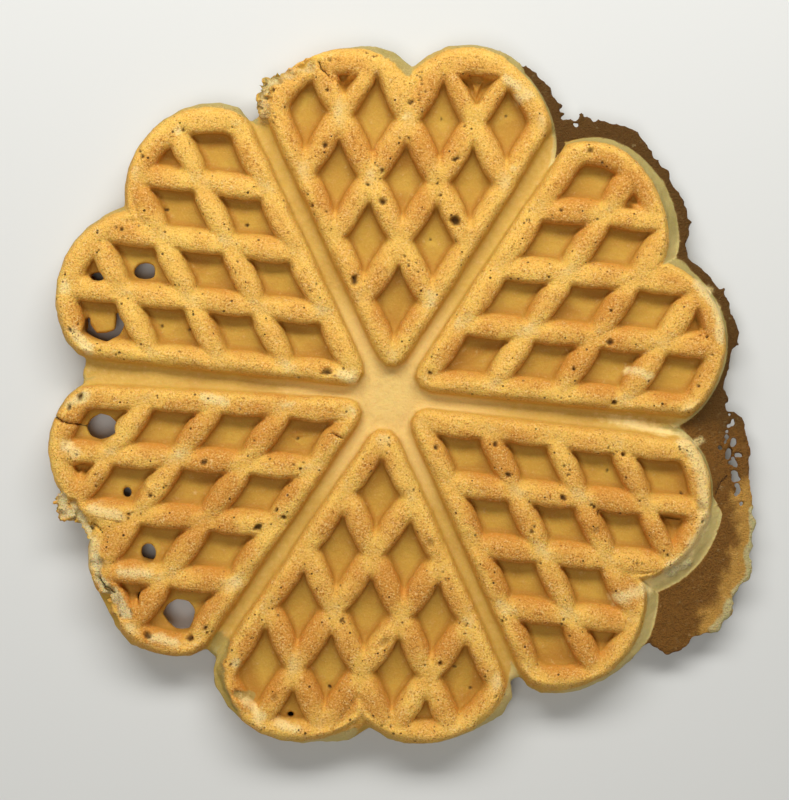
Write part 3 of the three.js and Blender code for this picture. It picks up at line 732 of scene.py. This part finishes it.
def baked_crust(node):
    draw = np.random.default_rng(SEED)
    piece = netted(strewn(pierced(node, draw), draw))
    mesh = piece.data
    edges = np.empty(len(mesh.edges) * 2, np.int64)
    mesh.edges.foreach_get("vertices", edges)
    edges = edges.reshape(-1, 2)
    points = points_of(mesh)
    strewn_lines = [(LOOSE_HALF, line) for *_, line in GRAINS]
    loose = np.maximum(beside(points, CRUMBLED), beside(points, strewn_lines))
    once = relaxed(points, edges, 1)
    points = relaxed(once, edges, SMOOTHING)
    points += (once - points) * loose[:, None]
    move_points(mesh, points)
    points = bake_ribs(points, normals_of(mesh), lattice(points))
    move_points(mesh, points)
    points = roughen(points, normals_of(mesh), lattice(points))
    points += (relaxed(points, edges, 1) - points) * (1 - 0.6 * torn(points))[:, None]
    move_points(mesh, points)
    points = cracked(points, normals_of(mesh))
    move_points(mesh, points)
    pores = pore_list(points, lattice(points), draw)
    points, pore_shade = press_pores(points, normals_of(mesh), pores, draw)
    move_points(mesh, keep_within(points))
    # Painted shade in the pores' hollows, for the material to darken them.
    store(mesh, "pit_shade", pore_shade)
    fewer = piece.modifiers.new("fewer", "DECIMATE")
    faces = sum(len(p.vertices) - 2 for p in mesh.polygons)
    fewer.ratio = TRIANGLES / faces
    fewer.use_collapse_triangulate = True
    return applied(piece)


def store(mesh, name, values):
    layer = mesh.attributes.get(name) or mesh.attributes.new(name, "FLOAT", "POINT")
    layer.data.foreach_set("value", np.clip(values, 0, 1).astype(np.float32))


def mark_crust(piece):
    """Writes how each point was baked, and where shade is painted on, for the crust's material to
    read.
    """
    mesh = piece.data
    points = points_of(mesh)
    places = lattice(points)
    height = np.abs(points[:, 2] - MIDDLE)
    top = upper(points)
    raised = ease(height, FLOOR + 0.4, FLOOR + 2.6)
    crest = ease(height, FLOOR + 2.8, FLOOR + 4.4)
    within = inside(places)
    overflow = on_overflow(points, places)
    belly = ease(span(places), 0.15, 0.8) * within
    wall = raised * (1 - crest)
    patchy = 0.7 + 0.6 * cloud(points, 13.0, 21) + 0.3 * cloud(points, 5.0, 22)
    toasted = raised * (0.25 + 0.75 * belly + 0.3 * wall) * places["brown"] * 1.7 * patchy
    store(mesh, "toasted", toasted * (1 - overflow))
    crossing = np.exp(-(places["to_left"] ** 2 + places["to_right"] ** 2) / (2 * 2.0**2))
    pale_top = 0.7 + 0.7 * cloud(points, 15.0, 23)
    store(mesh, "crossing", crossing * crest * pale_top * ease(-places["rim"], -3.0, 0.0))
    # Painted shade: the cell floors darken towards the foot of the walls, in the creases where
    # shade falls.
    crease_painted_shade = 1 - ease(places["to_rib"], RIB_FOOT - 0.3, RIB_FOOT + 2.4)
    crease_painted_shade = crease_painted_shade * (1 - ease(height, FLOOR + 0.6, FLOOR + 3.4)) * (1 - overflow)
    store(mesh, "crease_painted_shade", crease_painted_shade * ease(-places["rim"], 0.0, 2.0) * (0.4 + 0.6 * within))
    store(mesh, "overflow", overflow)
    side = ease(places["rim"], RIB_SHOULDER - 0.6, RIB_SHOULDER + 1.0) * (1 - overflow)
    side *= 1 - ease(height, FLOOR + 2.2, FLOOR + 3.8)
    faces_drift = places["outward"] @ SKIRT_DRIFT / np.hypot(*SKIRT_DRIFT)
    side *= 0.25 + 0.75 * ease(faces_drift, -0.3, 0.5)
    store(mesh, "side", side)
    # Painted shade: skirts that face +y, towards the window light, are coloured a darker olive, as
    # if in shade.
    store(mesh, "skirt_painted_shade", ease(side, 0, 0.5) * ease(places["outward"][:, 1], -0.3, 0.4))
    store(mesh, "fringe", overflow * ease(places["turned"], -4, 6))
    hub = np.hypot(*(points[:, :2] - HUB).T)
    store(mesh, "hub", (1 - ease(hub, 8, 40) * 0.65) * (1 - within) * (1 - raised) * (hub < 88))
    store(mesh, "pale", beside(points, PALE, 0.4, 0.0) * top)
    store(mesh, "crumbled", torn(points, 0.0) * (1 - 0.45 * (points[:, 1] > 0)))
    store(mesh, "olive", beside(points, OLIVE) * top * (1 - 0.8 * crest))
    store(mesh, "golden", beside(points, GOLDEN) * overflow)
    store(mesh, "bead", beside(points, BEAD) * overflow)
    # Painted shade along the cracks, for the material to darken them.
    store(mesh, "crack", beside(points, CRACKS, 0.25) * top)


# ------------------------------------------------------------------ finishes


def add(tree, kind, inputs=(), out=0, **settings):
    """Adds a shader node with its settings and inputs, and gives the socket it puts out."""
    node = tree.nodes.new("ShaderNode" + kind)
    for name, value in settings.items():
        setattr(node, name, value)
    for key, value in dict(inputs).items():
        if isinstance(value, bpy.types.NodeSocket):
            tree.links.new(value, node.inputs[key])
        else:
            node.inputs[key].default_value = value
    return node.outputs[out] if node.outputs else None


FACTOR, FIRST, SECOND, MIXED = 0, 6, 7, 2  # a colour mix's sockets

# How the crust's colour is laid on, one mark after another, bake marks and painted shade
# alike: the mark, how ragged its edge is, where it begins and is full, how strongly it covers,
# and its colour.
LAYERS = [
    ("hub", 0.5, 0.3, 1.2, 0.9, "e8c476"),
    # painted shade in the creases at the foot of the walls
    ("crease_painted_shade", 0.3, 0.25, 1.1, 0.55, "9c5c14"),
    ("toasted", 0.9, 0.4, 1.35, 0.8, "cf8831"),
    ("crossing", 0.8, 0.6, 1.4, 0.75, "f6db94"),
    ("side", 0.3, 0.3, 0.9, 0.8, "cfbd7c"),
    # painted shade on the skirts that face +y
    ("skirt_painted_shade", 0.3, 0.3, 0.9, 0.85, "a29154"),
    ("olive", 0.2, 0.3, 0.8, 0.75, "a08e4e"),
    ("overflow", 0.2, 0.4, 0.8, 1.0, "825720"),
    ("fringe", 0.6, 0.4, 1.0, 0.8, "583c15"),
    ("golden", 0.5, 0.4, 1.5, 0.9, "d2a04c"),
    ("bead", 0.9, 0.5, 1.3, 0.9, "c8bc85"),
    ("pale", 0.9, 0.55, 1.4, 0.7, "fce29b"),
    ("crumbled", 1.1, 0.65, 1.6, 0.85, "f2e2a6"),
]
# Real sizes of the crust's patterns. Its grain is about 0.3 mm, too fine to show, so it is
# drawn at 0.5 mm. Mottling and bake clouds are a few millimetres, and the finest pores lie
# about 2 mm apart.
GRAIN = 0.5
MOTTLE = 1.9
BAKE_CLOUD = 9.0
PORE_SPACING = 2.0
RELIEF = 0.62  # how deep the grain's bumps are drawn


def waffle_crust():
    """Baked batter: golden, matte and finely grained where it met the plate, with pores."""
    material = bpy.data.materials.new("baked_waffle_crust")
    material.use_nodes = True
    tree = material.node_tree
    tree.nodes.clear()
    place = add(tree, "TexCoord", out="Object")
    height = add(tree, "SeparateXYZ", {0: place}, out="Z")
    from_seam = add(tree, "Math", {0: height, 1: MIDDLE * MM}, operation="SUBTRACT")
    from_seam = add(tree, "Math", {0: from_seam}, operation="ABSOLUTE")
    raised = add(
        tree,
        "MapRange",
        {"Value": from_seam, "From Min": (FLOOR + 1.2) * MM, "From Max": (FLOOR + 4.9) * MM},
    )
    fine = {"Vector": place, "Scale": 1 / (GRAIN * MM), "Detail": 3, "Roughness": 0.6}
    grain = add(tree, "TexNoise", fine)
    coarse = {"Vector": place, "Scale": 1 / (MOTTLE * MM), "Detail": 3, "Roughness": 0.6}
    mottle = add(tree, "TexNoise", coarse)
    drift = add(tree, "TexNoise", {"Vector": place, "Scale": 1 / (BAKE_CLOUD * MM), "Detail": 2})

    # Floors are coloured a darker tan than the crests: partly the crust's own tone, partly painted
    # shade that deepens from the crests down to the floors.
    cloudy = add(tree, "MapRange", {"Value": drift, "From Min": 0.35, "From Max": 0.65})
    shades = {FACTOR: cloudy, FIRST: linear("bf9337"), SECOND: linear("c79e3f")}
    floor = add(tree, "Mix", shades, MIXED, data_type="RGBA")
    shades = {FACTOR: cloudy, FIRST: linear("f6be58"), SECOND: linear("fccb61")}
    crest = add(tree, "Mix", shades, MIXED, data_type="RGBA")
    shades = {FACTOR: raised, FIRST: floor, SECOND: crest}
    colour = add(tree, "Mix", shades, MIXED, data_type="RGBA")
    for name, ragged, low, full, cover, shade in LAYERS:
        mark = add(tree, "Attribute", out="Fac", attribute_name=name)
        edge = add(tree, "Math", {0: mottle, 1: ragged, 2: mark}, operation="MULTIPLY_ADD")
        share = add(
            tree,
            "MapRange",
            {"Value": edge, "From Min": low, "From Max": full, "To Max": cover},
            interpolation_type="SMOOTHSTEP",
        )
        shades = {FACTOR: share, FIRST: colour, SECOND: linear(shade)}
        colour = add(tree, "Mix", shades, MIXED, data_type="RGBA")

    # Torn crumb and overflow get dark specks where they are open: painted shade in their holes.
    overflow = add(tree, "Attribute", out="Fac", attribute_name="overflow")
    crumbled = add(tree, "Attribute", out="Fac", attribute_name="crumbled")
    open_crumb = add(tree, "Math", {0: overflow, 1: crumbled}, operation="MAXIMUM")
    step = {"Value": grain, "From Min": 0.5, "From Max": 0.62, "To Max": 0.6}
    hole_shade = add(tree, "MapRange", step)
    smooth = add(tree, "Attribute", out="Fac", attribute_name="golden")
    smooth = add(tree, "Math", {0: smooth, 1: crumbled}, operation="MAXIMUM")
    smooth = add(tree, "MapRange", {"Value": smooth, "To Min": 1.0, "To Max": 0.3})
    hole_shade = add(tree, "Math", {0: hole_shade, 1: smooth}, operation="MULTIPLY")
    hole_shade = add(tree, "Math", {0: hole_shade, 1: open_crumb}, operation="MULTIPLY")
    shades = {FACTOR: hole_shade, FIRST: colour, SECOND: linear("5a3d18")}
    colour = add(tree, "Mix", shades, MIXED, data_type="RGBA")

    # Brown flecks in the grain, and pale flecks that are partly the grain's own colour and partly
    # painted glints of light, strongest on the crests.
    step = {"Value": mottle, "From Min": 0.3, "From Max": 0.7, "To Min": 0.2, "To Max": 1.0}
    speckled = add(tree, "MapRange", step)
    grainy = add(tree, "MapRange", {"Value": raised, "To Min": 0.12})
    speckled = add(tree, "Math", {0: speckled, 1: grainy}, operation="MULTIPLY")
    step = {"Value": grain, "From Min": 0.52, "From Max": 0.66, "To Max": 0.95}
    flecks = add(tree, "MapRange", step)
    flecks = add(tree, "Math", {0: flecks, 1: speckled}, operation="MULTIPLY")
    shades = {FACTOR: flecks, FIRST: colour, SECOND: linear("9c5c1b")}
    colour = add(tree, "Mix", shades, MIXED, data_type="RGBA")
    step = {"Value": grain, "From Min": 0.48, "From Max": 0.34, "To Max": 0.75}
    pale_flecks_and_glints = add(tree, "MapRange", step)
    pale_flecks_and_glints = add(tree, "Math", {0: pale_flecks_and_glints, 1: speckled}, operation="MULTIPLY")
    whole = add(tree, "MapRange", {"Value": overflow, "To Min": 1.0, "To Max": 0.15})
    pale_flecks_and_glints = add(tree, "Math", {0: pale_flecks_and_glints, 1: whole}, operation="MULTIPLY")
    shades = {FACTOR: pale_flecks_and_glints, FIRST: colour, SECOND: linear("ffdf98")}
    colour = add(tree, "Mix", shades, MIXED, data_type="RGBA")

    # The finest pores, about 0.4 mm wide and in loose swarms, with the pressed ones and the cracks,
    # are painted dark: painted shade in their hollows.
    cells = {"Vector": place, "Scale": 1 / (PORE_SPACING * MM), "Randomness": 1.0}
    chance = add(tree, "TexVoronoi", cells, out="Color", feature="F1")
    chance = add(tree, "SeparateColor", {0: chance})
    away = add(tree, "TexVoronoi", cells, out="Distance", feature="F1")
    swarm = add(tree, "Math", {0: drift, 1: 1.1, 2: chance}, operation="MULTIPLY_ADD")
    step = {"Value": swarm, "From Min": 0.94, "From Max": 1.5, "To Max": 0.22}
    size = add(tree, "MapRange", step)
    uneven = add(tree, "Math", {0: grain, 1: 0.12, 2: away}, operation="MULTIPLY_ADD")
    gap = add(tree, "Math", {0: size, 1: uneven}, operation="SUBTRACT")
    pore = add(tree, "MapRange", {"Value": gap, "From Min": -0.04, "From Max": 0.02})
    pore = add(tree, "Math", {0: pore, 1: raised}, operation="MULTIPLY")
    pit_shade = add(tree, "Attribute", out="Fac", attribute_name="pit_shade")
    pit_shade = add(tree, "Math", {0: pore, 1: pit_shade}, operation="MAXIMUM")
    # painted shade along the cracks
    crack = add(tree, "Attribute", out="Fac", attribute_name="crack")
    crack = add(tree, "MapRange", {"Value": crack, "From Min": 0.55, "From Max": 1.0})
    pit_shade = add(tree, "Math", {0: pit_shade, 1: crack}, operation="MAXIMUM")
    pit_shade = add(tree, "Math", {0: pit_shade, 1: 0.92}, operation="MULTIPLY")
    shades = {FACTOR: pit_shade, FIRST: colour, SECOND: linear("4a2e0d")}
    colour = add(tree, "Mix", shades, MIXED, data_type="RGBA")

    rough = add(tree, "Math", {0: open_crumb, 1: 1.6, 2: grainy}, operation="MULTIPLY_ADD")
    relief = add(tree, "Math", {0: grain, 1: rough}, operation="MULTIPLY")
    relief = add(tree, "Math", {0: pore, 1: -1.5, 2: relief}, operation="MULTIPLY_ADD")
    relief = add(tree, "Math", {0: mottle, 1: 0.5, 2: relief}, operation="MULTIPLY_ADD")
    bumps = {"Strength": 1.0, "Distance": RELIEF * MM, "Height": relief}
    bump = add(tree, "Bump", bumps, out="Normal")
    # Dry crust scatters light softly: rough, hardly glossy, a little red light let through.
    shader = add(
        tree,
        "BsdfPrincipled",
        {
            "Base Color": colour,
            "Roughness": 0.72,
            "IOR": 1.45,
            "Specular IOR Level": 0.25,
            "Subsurface Weight": 0.25,
            "Subsurface Radius": (1.0, 0.42, 0.1),
            "Subsurface Scale": 1.2 * MM,
            "Normal": bump,
        },
    )
    add(tree, "OutputMaterial", {"Surface": shader})
    return material


def studio_floor():
    """Painted board: plain, pale and matte."""
    material = bpy.data.materials.new("pale_painted_board")
    material.use_nodes = True
    shader = material.node_tree.nodes["Principled BSDF"]
    # An even pale grey without gloss.
    shader.inputs["Base Color"].default_value = linear("d6d6d2")
    shader.inputs["Roughness"].default_value = 0.9
    return material


# ------------------------------------------------------------------ stage, light and camera

FRAME_TURN = math.radians(4.79)  # of the waffle against the view's upright
VIEW_OVER = (-3.4, -1.2)
VIEW_HEIGHT = 480.0  # above the crests
VIEW_WIDTH = 216.2  # what the view takes in at the crests
SENSOR = 36.0
BOARD_SIZE = 2.0  # metres
# Each light's place, size in metres and watts. All aim at the waffle's middle.
LIGHTS = {
    "window": ((0, 0.46, 0.47), (0.9, 0.18), 5.5),
    "skylight": ((-0.14, -0.26, 0.88), (0.5, 0.5), 2.65),
}


def lay_stage():
    board = bmesh.new()
    bmesh.ops.create_grid(board, x_segments=1, y_segments=1, size=BOARD_SIZE)
    piece = shown("studio_floor", board)
    piece.data.materials.append(studio_floor())


def add_light(name, place, size, watts):
    light = bpy.data.lights.new(name, "AREA")
    light.shape = "RECTANGLE"
    light.size, light.size_y = size
    light.energy = watts
    lamp = bpy.data.objects.new(name, light)
    turn = Matrix.Rotation(FRAME_TURN, 4, "Z")
    lamp.location = turn @ Vector(place)
    direction = turn @ -Vector(place)
    lamp.rotation_euler = direction.to_track_quat("-Z", "Y").to_euler()
    bpy.context.scene.collection.objects.link(lamp)


def light_stage():
    for name, (place, size, watts) in LIGHTS.items():
        add_light(name, place, size, watts)
    world = bpy.data.worlds.new("studio_air")
    world.use_nodes = True
    world.node_tree.nodes["Background"].inputs["Color"].default_value = linear("f2ede4")
    world.node_tree.nodes["Background"].inputs["Strength"].default_value = 0.12
    bpy.context.scene.world = world
    bpy.context.scene.view_settings.view_transform = "Standard"


def place_camera():
    camera = bpy.data.cameras.new("view")
    camera.sensor_fit = "HORIZONTAL"
    camera.sensor_width = SENSOR
    camera.lens = SENSOR * VIEW_HEIGHT / VIEW_WIDTH
    camera.clip_start = 0.01
    piece = bpy.data.objects.new("view", camera)
    piece.location = (VIEW_OVER[0] * MM, VIEW_OVER[1] * MM, (VIEW_HEIGHT + THICKNESS) * MM)
    piece.rotation_euler = (0, 0, FRAME_TURN)
    bpy.context.scene.collection.objects.link(piece)
    bpy.context.scene.camera = piece


# ------------------------------------------------------------------ the waffle

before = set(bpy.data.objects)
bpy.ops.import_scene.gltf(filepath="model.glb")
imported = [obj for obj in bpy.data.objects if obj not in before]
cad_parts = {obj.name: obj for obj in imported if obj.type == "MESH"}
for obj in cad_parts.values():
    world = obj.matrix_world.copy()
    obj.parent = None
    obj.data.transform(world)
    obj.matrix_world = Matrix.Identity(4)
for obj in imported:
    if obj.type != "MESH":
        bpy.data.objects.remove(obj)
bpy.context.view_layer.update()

crust = baked_crust(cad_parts["waffle"])
mark_crust(crust)
crust.data.materials.clear()
crust.data.materials.append(waffle_crust())
crust.data.polygons.foreach_set("use_smooth", [True] * len(crust.data.polygons))
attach(crust, "root")
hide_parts("waffle")

lay_stage()
light_stage()
place_camera()
